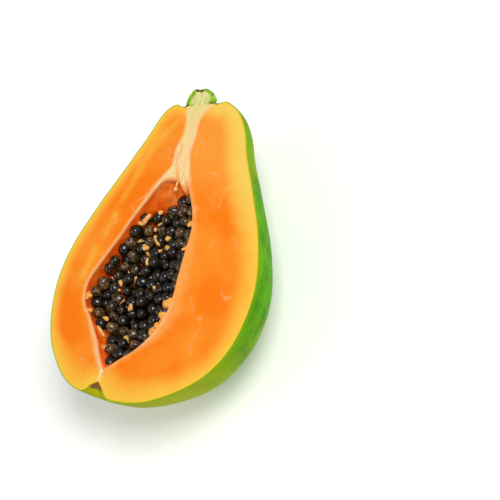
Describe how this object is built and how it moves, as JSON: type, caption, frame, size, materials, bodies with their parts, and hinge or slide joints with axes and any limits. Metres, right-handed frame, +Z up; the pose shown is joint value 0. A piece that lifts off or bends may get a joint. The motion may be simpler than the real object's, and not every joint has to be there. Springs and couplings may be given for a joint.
{
  "type": "halved papaya",
  "caption": "Ripe papaya cut lengthwise: one half with green skin, orange flesh, a pointed seed cavity full of dark seeds and a cut stem stub, lying on its round back.",
  "frame": {"origin": "on the surface it lies on, under the middle of the bounding box", "axes": "+Z up, square to the cut face; +Y along the fruit towards the stem; +X to the fuller side of the cut"},
  "size_m": [0.1104, 0.1606, 0.0534],
  "materials": {
    "flesh": "moist satin flesh inside a waxy green skin",
    "seeds": "wet and glossy",
    "stem": "matt, fresh green with a dried end"
  },
  "bodies": {
    "root": {"papaya_half": "flesh", "seeds": "seeds", "stem_stub": "stem"}
  },
  "joints": []
}
